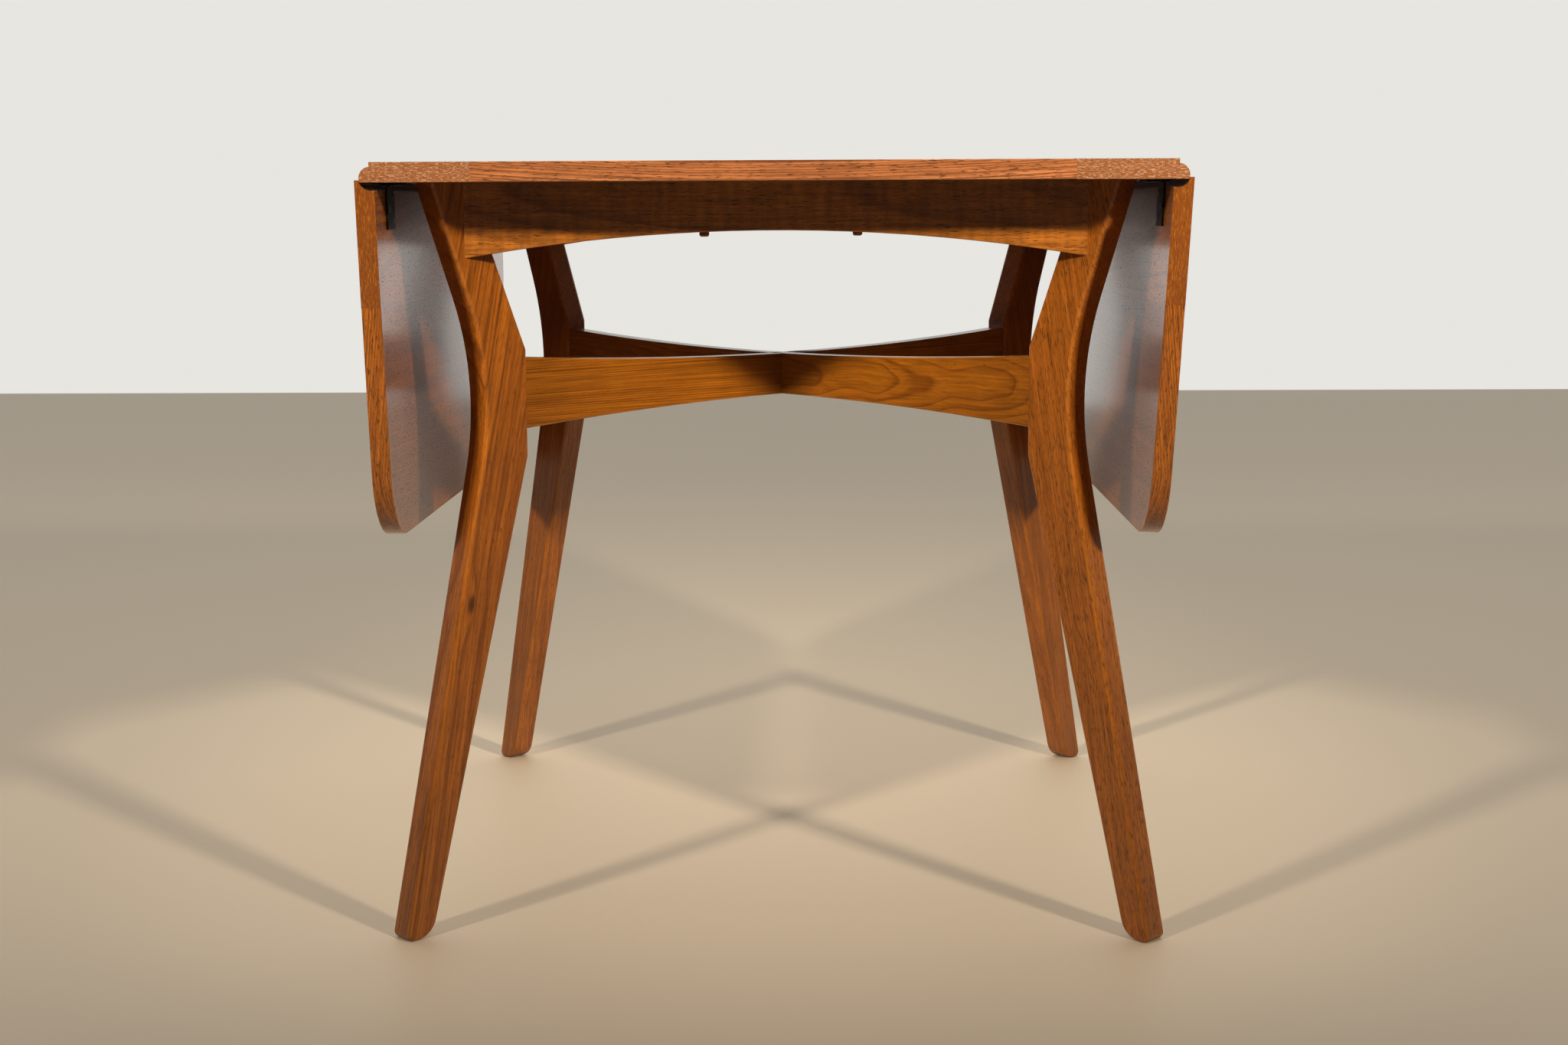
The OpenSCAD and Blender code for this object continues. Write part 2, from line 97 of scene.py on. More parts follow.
def emptyMaterial(name):
    mat = bpy.data.materials.new(name)
    mat.use_nodes = True
    mat.node_tree.nodes.clear()
    return mat, mat.node_tree


def bodyOf(node):
    return nodes[node]["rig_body"]


def camelName(node):
    first, *rest = node.split("_")
    return first + "".join(word.capitalize() for word in rest)


def turned(degrees):
    # unit vector in the floor plane, at this angle from +X
    return Vector((math.cos(math.radians(degrees)), math.sin(math.radians(degrees)), 0))


def boardAxes(along, face):
    # rows that turn the table's frame into the board's own: along the grain, across it, through the face
    along = Vector(along).normalized()
    across = Vector(face).cross(along).normalized()
    return Matrix((along, across, along.cross(across)))


# shaping: a copy of the CAD shape with its arrises eased

# welding distance and glued gap in metres; angles in degrees; a face's slope to the grain for end grain
easing = {"weld": 2e-6, "glued": 0.2 * mm, "flat": 0.15, "sharp": 32, "endFrom": 0.45, "endBlend": 0.4}
woodNodes = [n for n in nodes if not any(w in n for w in ("hinge", "screw", "dowel"))]
trees = {}


def surfaceOf(node):
    if node not in trees:
        mesh = nodes[node].data
        trees[node] = BVHTree.FromPolygons([v.co for v in mesh.vertices], [p.vertices for p in mesh.polygons])
    return trees[node]


def isGlued(edge, others):
    # an edge that lies on a neighbour on the same body is a glue line, and stays sharp
    a, b = (v.co for v in edge.verts)
    return all(any(surfaceOf(o).find_nearest(a.lerp(b, t), easing["glued"])[0] is not None for o in others)
               for t in (0.1, 0.5, 0.9))


def easedMesh(node, radius, segments=3, sharpAbove=25, cuts=(), others=None):
    bm = bmesh.new()
    bm.from_mesh(nodes[node].data)
    bmesh.ops.remove_doubles(bm, verts=bm.verts, dist=easing["weld"])
    bmesh.ops.dissolve_limit(bm, angle_limit=math.radians(easing["flat"]), verts=bm.verts, edges=bm.edges)
    for point, normal in cuts:
        bmesh.ops.bisect_plane(bm, geom=bm.verts[:] + bm.edges[:] + bm.faces[:],
                               plane_co=point, plane_no=normal)
    if others is None:
        others = [o for o in woodNodes if o != node and bodyOf(o) == bodyOf(node)]
    arrises = [e for e in bm.edges if len(e.link_faces) == 2 and e.is_convex
               and math.degrees(e.calc_face_angle(0)) > sharpAbove and not isGlued(e, others)]
    made = bmesh.ops.bevel(bm, geom=arrises, offset=radius, offset_type="OFFSET", segments=segments,
                           profile=0.5, affect="EDGES", clamp_overlap=True, loop_slide=True)
    eased = set(made["faces"])
    wear = bm.verts.layers.float.new("wear")
    for v in bm.verts:
        v[wear] = 1.0 if v.link_faces and all(f in eased for f in v.link_faces) else 0.0
    for f in bm.faces:
        f.smooth = True
    mesh = bpy.data.meshes.new(camelName(node))
    bm.to_mesh(mesh)
    bm.free()
    mesh.set_sharp_from_angle(angle=math.radians(easing["sharp"]))
    return mesh


def markEndGrain(mesh, along):
    # 1 on faces the grain runs into, 0 on faces it runs along
    mark = mesh.attributes.new("endGrain", "FLOAT", "CORNER")
    for polygon in mesh.polygons:
        facing = abs(polygon.normal.dot(along))
        for i in polygon.loop_indices:
            mark.data[i].value = min(1, max(0, (facing - easing["endFrom"]) / easing["endBlend"]))


def markPath(mesh, joint, across, face, corner):
    # places along a leaf's lipping: distance round its outline, distance in from the edge, and through it
    spots = [v.co - joint for v in mesh.vertices]
    reach = max(spot.dot(across) for spot in spots) - corner
    half = max(abs(spot.y) for spot in spots) - corner
    mark = mesh.attributes.new("grainPlace", "FLOAT_VECTOR", "POINT")
    for i, spot in enumerate(spots):
        out, side = spot.dot(across) - reach, abs(spot.y) - half
        if side > 0 and out > 0:
            along, depth = reach + corner * math.atan2(out, side), corner - math.hypot(out, side)
        elif side > 0:
            along, depth = reach + out, corner - side
        else:
            along, depth = reach + corner * math.pi / 2 - side, corner - out
        # the two ends of the strip run apart from the middle of the free edge
        along = along if spot.y < 0 else 2 * (reach + corner * math.pi / 2 + half) - along
        mark.data[i].vector = (along, depth, spot.dot(face))


def addPiece(mesh, node, material):
    obj = bpy.data.objects.new(camelName(node), mesh)
    bpy.context.scene.collection.objects.link(obj)
    mesh.materials.clear()
    mesh.materials.append(material)
    even = obj.modifiers.new("evenNormals", "WEIGHTED_NORMAL")
    even.keep_sharp = True
    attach(obj, bodyOf(node))
    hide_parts(node)
    return obj


# wood, planed or sliced and then lacquered

# figure that all the woods share; lengths are in metres
figure = {
    "boardStep": 0.37,   # a board is cut this far along the log, times its own seed
    # how hard the wood is, from one ring's start to its end
    "ring": [(0, 0.25), (0.12, 0.0), (0.6, 0.35), (0.9, 1.0), (1, 0.25)],
    "ringUneven": 2.4, "unevenScale": 0.31, "bandScale": 0.17,
    "knotStretch": (0.45, 1, 0), "knotReach": 22 * mm, "knotSwell": 9 * mm,
    "knotCore": 1.5 * mm, "knotRim": 6 * mm, "knotDark": 0.8,
    "poreStep": 0.07, "hazeScale": 5, "haze": 0.1,
    "speckFrom": 0.5, "speckTo": 0.68, "rubScale": 28, "rubLeast": 0.25,
}
# how much drier each feature leaves the lacquer, and how far it stands out of the surface
film = {"pore": 0.16, "fibre": 0.08, "haze": 0.08, "end": 0.22, "rub": 0.1, "ior": 1.5, "coatRoughness": 0.15}
relief = {"pore": -1.0, "late": 0.25, "fibre": 0.5, "end": 2.5, "depth": 0.12 * mm}


def woodMaterial(name, look, axes, centre, seed, tilt=(0, 0, 0), coords=None):
    mat, tree = emptyMaterial(name)
    add = partial(addNode, tree)

    turn = Euler([math.radians(a) for a in tilt]).to_matrix() @ axes
    place = -(turn @ Vector(centre)) + Vector((seed * figure["boardStep"], 0, 0))
    if coords:
        source = add("ShaderNodeAttribute", attribute_name=coords).outputs["Vector"]
    else:
        source = add("ShaderNodeTexCoord").outputs["Object"]
    board = add("ShaderNodeMapping", {"Vector": source},
                {"Rotation": turn.to_euler("XYZ"), "Location": place}).outputs["Vector"]

    # the grain wanders slowly as it runs along the board
    drift = add("ShaderNodeMapping", {"Vector": board}, {"Scale": look["wanderScale"]})
    drift = add("ShaderNodeTexNoise", {"Vector": drift.outputs[0]},
                {"Scale": 1, "Detail": 2, "Roughness": 0.45})
    drift = add("ShaderNodeVectorMath", {0: drift.outputs["Color"]}, {1: (0.5, 0.5, 0.5)},
                operation="SUBTRACT")
    drift = add("ShaderNodeVectorMath", {0: drift.outputs[0]}, {1: (0, look["wander"], look["wander"])},
                operation="MULTIPLY")
    moved = add("ShaderNodeVectorMath", {0: board, 1: drift.outputs[0]}, operation="ADD")

    # growth rings: distance from a pith that lies beside the board
    pith = (0, look["pithAcross"], look["pithBehind"])
    fromPith = add("ShaderNodeVectorMath", {0: moved.outputs[0]}, {1: pith}, operation="SUBTRACT")
    fromPith = add("ShaderNodeVectorMath", {0: fromPith.outputs[0]}, {1: (0, 1, 1)}, operation="MULTIPLY")
    radius = add("ShaderNodeVectorMath", {0: fromPith.outputs[0]}, operation="LENGTH").outputs["Value"]
    if "knot" in look:
        # the rings part round a small branch that runs through the board
        off = add("ShaderNodeVectorMath", {0: moved.outputs[0]}, {1: turn @ look["knot"] + place},
                  operation="SUBTRACT")
        off = add("ShaderNodeVectorMath", {0: off.outputs[0]}, {1: figure["knotStretch"]},
                  operation="MULTIPLY")
        off = add("ShaderNodeVectorMath", {0: off.outputs[0]}, operation="LENGTH").outputs["Value"]
        swell = add("ShaderNodeMapRange", {"Value": off},
                    {"From Min": 0, "From Max": figure["knotReach"],
                     "To Min": figure["knotSwell"], "To Max": 0},
                    interpolation_type="SMOOTHSTEP").outputs[0]
        radius = add("ShaderNodeMath", {0: radius, 1: swell}, operation="ADD").outputs[0]
        knotMask = add("ShaderNodeMapRange", {"Value": off},
                       {"From Min": figure["knotCore"], "From Max": figure["knotRim"],
                        "To Min": figure["knotDark"], "To Max": 0},
                       interpolation_type="SMOOTHSTEP").outputs[0]
    count = add("ShaderNodeMath", {0: radius}, {1: 1 / look["ringWidth"]}, operation="MULTIPLY").outputs[0]
    uneven = add("ShaderNodeTexNoise", {"W": count}, {"Scale": figure["unevenScale"], "Detail": 3},
                 noise_dimensions="1D")
    count = add("ShaderNodeMath", {0: uneven.outputs[0], 2: count}, {1: figure["ringUneven"]},
                operation="MULTIPLY_ADD").outputs[0]
    phase = add("ShaderNodeMath", {0: count}, operation="FRACT").outputs[0]
    late = add("ShaderNodeValToRGB", {"Fac": phase})
    setRamp(late.color_ramp, figure["ring"])
    bands = add("ShaderNodeTexNoise", {"W": count}, {"Scale": figure["bandScale"], "Detail": 2},
                noise_dimensions="1D")

    # fibres, pores and the shimmer across the grain
    fibre = add("ShaderNodeMapping", {"Vector": moved.outputs[0]}, {"Scale": look["fibreScale"]})
    fibre = add("ShaderNodeTexNoise", {"Vector": fibre.outputs[0]},
                {"Scale": 1, "Detail": 3, "Roughness": 0.6})
    pore = add("ShaderNodeMapping", {"Vector": moved.outputs[0]}, {"Scale": look["poreScale"]})
    pore = add("ShaderNodeTexNoise", {"Vector": pore.outputs[0]}, {"Scale": 1, "Detail": 1, "Roughness": 0.5})
    pore = add("ShaderNodeMapRange", {"Value": pore.outputs[0]},
               {"From Min": look["poreFrom"], "From Max": look["poreFrom"] + figure["poreStep"]}).outputs[0]
    shimmer = add("ShaderNodeMapping", {"Vector": moved.outputs[0]}, {"Scale": look["shimmerScale"]})
    shimmer = add("ShaderNodeTexNoise", {"Vector": shimmer.outputs[0]}, {"Scale": 1, "Detail": 2})
    cloud = add("ShaderNodeTexNoise", {"Vector": board}, {"Scale": figure["hazeScale"], "Detail": 3})

    # colour: rings, then bands of rings, then the three unevennesses, then the pores
    ringMix = add("ShaderNodeMath", {0: late.outputs[0]}, {1: look["ringContrast"]},
                  operation="MULTIPLY").outputs[0]
    colour = add("ShaderNodeMix", {"Factor": ringMix},
                 {"A": linear(look["early"]), "B": linear(look["late"])}, data_type="RGBA")
    bandMix = add("ShaderNodeMapRange", {"Value": bands.outputs[0]},
                  {"From Min": 0.35, "From Max": 0.65, "To Max": look["bandContrast"]}).outputs[0]
    colour = add("ShaderNodeMix", {"Factor": bandMix, "A": colour.outputs["Result"]},
                 {"B": linear(look["band"])}, data_type="RGBA")
    shades = [add("ShaderNodeMapRange", {"Value": feature.outputs[0]},
                  {"From Min": 0.3, "From Max": 0.7, "To Min": 1 - amount, "To Max": 1 + amount}).outputs[0]
              for feature, amount in ((fibre, look["fibreContrast"]), (shimmer, look["shimmer"]),
                                      (cloud, figure["haze"]))]
    shade = add("ShaderNodeMath", {0: shades[0], 1: shades[1]}, operation="MULTIPLY").outputs[0]
    shade = add("ShaderNodeMath", {0: shade, 1: shades[2]}, operation="MULTIPLY").outputs[0]
    colour = add("ShaderNodeVectorMath", {0: colour.outputs["Result"], "Scale": shade}, operation="SCALE")
    poreMix = add("ShaderNodeMath", {0: pore}, {1: look["poreContrast"]}, operation="MULTIPLY").outputs[0]
    colour = add("ShaderNodeMix", {"Factor": poreMix, "A": colour.outputs[0]}, {"B": linear(look["pore"])},
                 data_type="RGBA")
    if "knot" in look:
        colour = add("ShaderNodeMix", {"Factor": knotMask, "A": colour.outputs["Result"]},
                     {"B": linear(look["pore"])}, data_type="RGBA")

    # end grain: drier, speckled and rougher
    ends = add("ShaderNodeAttribute", attribute_name="endGrain").outputs["Fac"]
    speck = add("ShaderNodeMapping", {"Vector": board}, {"Scale": look["speckScale"]})
    speck = add("ShaderNodeTexNoise", {"Vector": speck.outputs[0]},
                {"Scale": 1, "Detail": 3, "Roughness": 0.7})
    speckMask = add("ShaderNodeMapRange", {"Value": speck.outputs[0]},
                    {"From Min": figure["speckFrom"], "From Max": figure["speckTo"]}).outputs[0]
    endColour = add("ShaderNodeMix", {"Factor": speckMask},
                    {"A": linear(look["endDark"]), "B": linear(look["endLight"])}, data_type="RGBA")
    endMix = add("ShaderNodeMath", {0: ends}, {1: look["endGrain"]}, operation="MULTIPLY").outputs[0]
    colour = add("ShaderNodeMix", {"Factor": endMix, "A": colour.outputs["Result"],
                 "B": endColour.outputs["Result"]}, data_type="RGBA")

    # wear: the finish is rubbed thin along the arrises, in patches
    rubbed = add("ShaderNodeTexNoise", {"Vector": board},
                 {"Scale": figure["rubScale"], "Detail": 4, "Roughness": 0.6})
    rubbed = add("ShaderNodeMapRange", {"Value": rubbed.outputs[0]},
                 {"From Min": 0.35, "From Max": 0.6, "To Min": figure["rubLeast"]}).outputs[0]
    edge = add("ShaderNodeAttribute", attribute_name="wear").outputs["Fac"]
    rubbed = add("ShaderNodeMath", {0: rubbed, 1: edge}, operation="MULTIPLY").outputs[0]
    wearMix = add("ShaderNodeMath", {0: rubbed}, {1: look["wear"]}, operation="MULTIPLY").outputs[0]
    colour = add("ShaderNodeMix", {"Factor": wearMix, "A": colour.outputs["Result"]},
                 {"B": linear(look["worn"])}, data_type="RGBA")

    # gloss follows the wood: pores, end grain and rubbed edges are drier
    rough = add("ShaderNodeMath", {0: pore}, {1: film["pore"], 2: look["roughness"]},
                operation="MULTIPLY_ADD").outputs[0]
    for feature, key in ((fibre.outputs[0], "fibre"), (cloud.outputs[0], "haze"), (endMix, "end")):
        rough = add("ShaderNodeMath", {0: feature, 2: rough}, {1: film[key]},
                    operation="MULTIPLY_ADD").outputs[0]
    rough = add("ShaderNodeMath", {0: rubbed, 2: rough}, {1: film["rub"]}, operation="MULTIPLY_ADD",
                use_clamp=True).outputs[0]

    # relief: open pores, and soft wood a little below hard
    height = add("ShaderNodeMath", {0: pore}, {1: relief["pore"]}, operation="MULTIPLY").outputs[0]
    ragged = add("ShaderNodeMath", {0: speckMask, 1: endMix}, operation="MULTIPLY").outputs[0]
    for feature, key in ((late.outputs[0], "late"), (fibre.outputs[0], "fibre"), (ragged, "end")):
        height = add("ShaderNodeMath", {0: feature, 2: height}, {1: relief[key]},
                     operation="MULTIPLY_ADD").outputs[0]
    bump = add("ShaderNodeBump", {"Height": height}, {"Strength": look["bump"], "Distance": relief["depth"]})

    shader = add("ShaderNodeBsdfPrincipled",
                 {"Base Color": colour.outputs["Result"], "Roughness": rough, "Normal": bump.outputs[0]},
                 {"IOR": film["ior"], "Coat Weight": look["coat"], "Coat Roughness": film["coatRoughness"]})
    add("ShaderNodeOutputMaterial", {"Surface": shader.outputs[0]})
    return mat


def addBoard(node, look, along, face, radius, seed, tilt=(0, 0, 0), segments=3, cuts=()):
    mesh = easedMesh(node, radius, segments, cuts=cuts)
    low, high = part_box(node)
    axes = boardAxes(along, face)
    markEndGrain(mesh, axes[0])
    material = woodMaterial(look["name"] + "_" + node, look, axes, (low + high) / 2, seed, tilt)
    return addPiece(mesh, node, material)


def addLipping(node, look, across, face, radius, seed, corner):
    # the lipping bends round the corners, and its grain goes with it
    mesh = easedMesh(node, radius)
    low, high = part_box(node)
    markPath(mesh, Vector(((low + high).x / 2, 0, high.z)), across, face, corner)
    material = woodMaterial(look["name"] + "_" + node, look, Matrix.Identity(3), (0, 0, 0), seed,
                            coords="grainPlace")
    return addPiece(mesh, node, material)


# a scale is one over the size in metres of a feature along, across and through the board
teak = {
    "name": "teakPlanedSatinLacquer",   # open dark pores and even brown bands under a thin satin film
    "early": "#9c581a", "late": "#6a340e", "band": "#7a4112", "pore": "#2a1205",
    "endDark": "#7a4a28", "endLight": "#cba688", "worn": "#b8742c",
    "ringWidth": 3.2 * mm, "ringContrast": 0.7, "bandContrast": 0.6,
    "pithAcross": 0.03, "pithBehind": -0.22,
    "wander": 0.012, "wanderScale": (2.2, 7, 7),
    "fibreScale": (12, 420, 420), "fibreContrast": 0.32,
    "poreScale": (110, 1300, 1300), "poreFrom": 0.6, "poreContrast": 0.75,
    "shimmerScale": (30, 14, 14), "shimmer": 0.06,
    "speckScale": (300, 260, 1500), "endGrain": 0.8,
    "wear": 0.3, "roughness": 0.34, "coat": 0.35, "bump": 0.6,
}
teakVeneer = {
    **teak, "name": "teakVeneerSatinLacquer",   # quarter-cut stripes, straighter than the solid wood
    "early": "#8c4f1e", "late": "#633211", "band": "#6d3814",
    "ringWidth": 2.4 * mm, "pithAcross": 0.9, "pithBehind": -0.35, "wander": 0.02, "wanderScale": (1.4, 3, 3),
    "shimmerScale": (18, 5, 5), "shimmer": 0.1, "endGrain": 0.0, "coat": 0.5, "roughness": 0.28,
}
leafSolid = {
    **teak, "name": "teakPlanedOiledEnds",   # planed strip whose oiled ends stay as dark as its faces
    "endDark": "#6a340c", "endLight": "#a86820", "speckScale": (300, 130, 1300),
    "coat": 0.5, "roughness": 0.28,
}
lipTeak = {
    **teak, "name": "teakLippingSatinLacquer",   # narrow strips with dark lines that keep to the edge
    "early": "#a05a18", "late": "#4f2408", "band": "#7c4312", "ringWidth": 1.5 * mm, "ringContrast": 0.85,
    "pithAcross": 0.5, "pithBehind": -0.3, "wander": 0.004, "wanderScale": (3, 12, 12), "endGrain": 0.0,
}
leafLip = {
    **lipTeak, "name": "teakLippingHighSheen",   # the gloss of the leaf runs on over it
    "coat": 0.5, "roughness": 0.28,
}
topLip = {
    **lipTeak, "name": "teakLippingRubbedBright",   # most handled edge, rubbed to a lighter brown
    "early": "#aa6b40", "late": "#5e321a", "band": "#844b26", "ringContrast": 0.95,
}
legTeak = {
    **teak, "name": "teakShapedRubbedLacquer",   # fine upright grain, rubbed lighter along the arrises
    "early": "#a35c18", "late": "#6b360d", "band": "#7c4212", "ringWidth": 2.6 * mm, "fibreContrast": 0.34,
    "pithAcross": 0.13, "pithBehind": -0.06, "wander": 0.01, "poreContrast": 0.45,
    "wear": 0.15, "coat": 0.25,
}
apronTeak = {
    **teak, "name": "teakSawnRubbedLacquer",   # darker board with a fine wavy figure
    "early": "#9d5d1e", "late": "#6a3912", "band": "#7a471a", "shimmerScale": (120, 25, 25), "shimmer": 0.22,
}
stainedBeech = {
    **teak, "name": "beechStainedSatinLacquer",   # closed grain with small flecks, stained orange brown
    "early": "#98580f", "late": "#653207", "band": "#7c460c", "pore": "#452006", "worn": "#c08434",
    "ringWidth": 5 * mm, "ringContrast": 0.5, "bandContrast": 0.35, "pithAcross": 0.0, "pithBehind": -0.05,
    "wander": 0.008, "poreScale": (160, 900, 900), "poreFrom": 0.66, "poreContrast": 0.35,
}
plainBeech = {
    **stainedBeech, "name": "beechPlanedBare",   # hidden parts left without stain: pale, dry and even
    "early": "#b88a5d", "late": "#946640", "band": "#a67a50", "pore": "#6b4426", "worn": "#c9a47a",
    "coat": 0.0, "roughness": 0.55,
}

# fixed top
top = {"arris": 0.8 * mm, "stripTilt": (0, 1.2, 0.6)}
addBoard("top_panel", teakVeneer, (0, 1, 0), (0, 0, 1), top["arris"], 1)
for i, side in enumerate(("left", "right")):
    addBoard(f"top_strip_{side}", teak, (0, 1, 0), (0, 0, 1),
             top["arris"], 2 + i, top["stripTilt"])
for i, end in enumerate(("front", "back")):
    addBoard(f"top_lipping_{end}", topLip, (1, 0, 0), (0, 0, 1),
             top["arris"], 4 + i)
print("top made")

# leaves
leaf = {"arris": 1.0 * mm, "corner": 70 * mm, "stripTilt": (0, 1.0, 0.5)}
hinges = {j["name"]: j for j in frame["joints"]}
for i, side in enumerate(("left", "right")):
    # the leaf's face turns with the hanging angle, which its hinge's range gives
    drop = math.radians(max(map(abs, hinges[f"{side}_leaf_hinge"]["range_deg"])))
    outward = -1 if side == "left" else 1
    face = Vector((outward * math.sin(drop), 0, math.cos(drop)))
    across = Vector((outward * math.cos(drop), 0, -math.sin(drop)))
    addBoard(f"leaf_panel_{side}", teakVeneer, (0, 1, 0), face,
             leaf["arris"], 8 + i)
    addBoard(f"leaf_strip_{side}", leafSolid, (0, 1, 0), face,
             leaf["arris"], 10 + i, leaf["stripTilt"])
    addLipping(f"leaf_lipping_{side}", leafLip, across, face,
               leaf["arris"], 12 + i, leaf["corner"])
print("leaves made")

# legs
leg = {"arris": 3.5 * mm, "segments": 5, "lean": 0.2, "half": 14 * mm}   # half of the plank's thickness
# each leg came from its own plank: bold streaks and a knot in one, quieter grain in the others
legLooks = {
    "front_left": {"ringWidth": 13 * mm, "ringContrast": 0.85, "bandContrast": 0.8, "wander": 0.018,
                   "fibreContrast": 0.42, "knot": {"out": 0.426, "up": 0.317}},
    "front_right": {"ringContrast": 0.35, "bandContrast": 0.4, "poreContrast": 0.75, "poreFrom": 0.58},
    "back_left": {}, "back_right": {"ringContrast": 0.4},
}
legAngles = {"front_left": 225, "front_right": 315, "back_left": 135, "back_right": 45}
for i, (place, angle) in enumerate(legAngles.items()):
    out = turned(angle)
    look = {**legTeak, **legLooks[place]}
    if "knot" in look:
        # from its distance out and its height to its place on the leg's front face
        look["knot"] = (out * look["knot"]["out"] + turned(angle + 90) * leg["half"]
                        + Vector((0, 0, look["knot"]["up"])))
    addBoard(f"leg_{place}", look, Vector((0, 0, -1)) + out * leg["lean"],
             turned(angle + 90), leg["arris"], 20 + i, segments=leg["segments"])
print("legs made")

# aprons and rails
apron = {"arris": 1.2 * mm, "tilt": (0, 0.8, 0)}
for i, end in enumerate(("front", "back")):
    addBoard(f"apron_{end}", apronTeak, (1, 0, 0), (0, -1 if end == "front" else 1, 0),
             apron["arris"], 30 + i, apron["tilt"])
for i, side in enumerate(("left", "right")):
    addBoard(f"rail_{side}", apronTeak, (0, 1, 0), (-1 if side == "left" else 1, 0, 0),
             apron["arris"], 32 + i, apron["tilt"])
print("aprons and rails made")

# crossed stretchers
stretcher = {"arris": 1.5 * mm, "lap": 10 * mm, "tilt": {"lower": (0, 0.3, 0), "upper": (0, 2.6, 0.4)}}
# one board is cut on the quarter and shows fine lines; the other is flat-cut and shows islands
stretcherLooks = {
    "lower": {"ringWidth": 2.4 * mm, "pithAcross": 0.35, "pithBehind": 0.05, "ringContrast": 0.9},
    "upper": {"ringWidth": 4 * mm, "ringContrast": 0.8, "wander": 0.016, "wanderScale": (9, 14, 14)},
}
for i, (place, angle) in enumerate((("lower", 45), ("upper", 135))):
    node = f"stretcher_{place}"
    # the other board's faces pass here, so the eased edges stop at them
    cuts = [(turned(angle) * s * stretcher["lap"], turned(angle)) for s in (-1, 1)]
    look = {**stainedBeech, **stretcherLooks[place]}
    addBoard(node, look, turned(angle), turned(angle - 90),
             stretcher["arris"], 40 + i, stretcher["tilt"][place], cuts=cuts)
print("stretchers made")

# lopers, pegs, blocks and the guide
hidden = {"arris": 0.8 * mm, "pegArris": 0.5 * mm}
for i, side in enumerate(("left", "right")):
    addBoard(f"loper_{side}", plainBeech, (1, 0, 0), (0, 0, 1), hidden["arris"], 50 + i)
    addBoard(f"loper_peg_{side}", legTeak, (0, 0, 1), (1, 0, 0), hidden["pegArris"], 52 + i)
for i, node in enumerate(("fixing_blocks", "guide_spacers", "guide_keeper", "rail_dowels")):
    addBoard(node, plainBeech, (1, 0, 0), (0, 0, 1), hidden["arris"], 54 + i)
print("lopers, blocks and guide made")


# steel

steel = {
    "mottleScale": 180, "mottleGloss": 0.3, "mottleFrom": 0.5, "mottleTo": 0.68, "edgeWear": 0.6,
    "scratchScale": (2500, 2500, 90), "scratchStrength": 0.3, "scratchDepth": 0.05 * mm,
}


def steelMaterial(name, look):
    mat, tree = emptyMaterial(name)
    add = partial(addNode, tree)
    place = add("ShaderNodeTexCoord").outputs["Object"]
    mottle = add("ShaderNodeTexNoise", {"Vector": place},
                 {"Scale": steel["mottleScale"], "Detail": 5, "Roughness": 0.65})
    scratch = add("ShaderNodeMapping", {"Vector": place}, {"Scale": steel["scratchScale"]})
    scratch = add("ShaderNodeTexNoise", {"Vector": scratch.outputs[0]}, {"Scale": 1, "Detail": 2})
    worn = add("ShaderNodeMapRange", {"Value": mottle.outputs[0]},
               {"From Min": steel["mottleFrom"], "From Max": steel["mottleTo"]}).outputs[0]
    edge = add("ShaderNodeAttribute", attribute_name="wear").outputs["Fac"]
    worn = add("ShaderNodeMath", {0: edge, 2: worn}, {1: steel["edgeWear"]}, operation="MULTIPLY_ADD",
               use_clamp=True).outputs[0]
    worn = add("ShaderNodeMath", {0: worn}, {1: look["wear"]}, operation="MULTIPLY").outputs[0]
    colour = add("ShaderNodeMix", {"Factor": worn}, {"A": linear(look["colour"]), "B": linear(look["worn"])},
                 data_type="RGBA")
    # the mottling averages a half, so the middle gloss stays the look's own
    rough = add("ShaderNodeMath", {0: mottle.outputs[0]},
                {1: steel["mottleGloss"], 2: look["roughness"] - steel["mottleGloss"] / 2},
                operation="MULTIPLY_ADD").outputs[0]
    bump = add("ShaderNodeBump", {"Height": scratch.outputs[0]},
               {"Strength": steel["scratchStrength"], "Distance": steel["scratchDepth"]})
    shader = add("ShaderNodeBsdfPrincipled", {"Base Color": colour.outputs["Result"], "Roughness": rough,
                 "Normal": bump.outputs[0]}, {"Metallic": look["metallic"]})
    add("ShaderNodeOutputMaterial", {"Surface": shader.outputs[0]})
    return mat


blackSteel = steelMaterial("mildSteelOilBlacked", {   # dull black skin, bare grey where it has rubbed
    "colour": "#1d1b1a", "worn": "#6b665f", "wear": 0.5, "roughness": 0.42, "metallic": 0.85})
screwSteel = steelMaterial("mildSteelTurnedZincPlated", {   # soft silvery grey with dull patches
    "colour": "#8b867c", "worn": "#4d473e", "wear": 0.5, "roughness": 0.38, "metallic": 1.0})

hinge = {"arris": 0.25 * mm, "segments": 2, "sharpAbove": 40}
for node in [n for n in nodes if n.startswith(("hinge_plate_l", "hinge_plate_r", "hinge_pin", "hinge_flap"))]:
    mesh = easedMesh(node, hinge["arris"], hinge["segments"], hinge["sharpAbove"], others=())
    addPiece(mesh, node, blackSteel)
print("hinges made")

# wood screws: one is modelled with nodes, then set at every place the CAD puts one
screw = {
    "headRadius": 3.6 * mm, "headDepth": 1.9 * mm, "shankRadius": 1.7 * mm,
    "slotWidth": 0.8 * mm, "slotDepth": 0.7 * mm, "slotGap": 0.2 * mm,   # slot's floor to the shank's top
    "tipRadius": 0.3 * mm, "sides": 40, "sharp": 30, "seed": 11,
    "rim": 0.8 * mm,   # how near an end a corner of the CAD's screw counts as part of that end
}


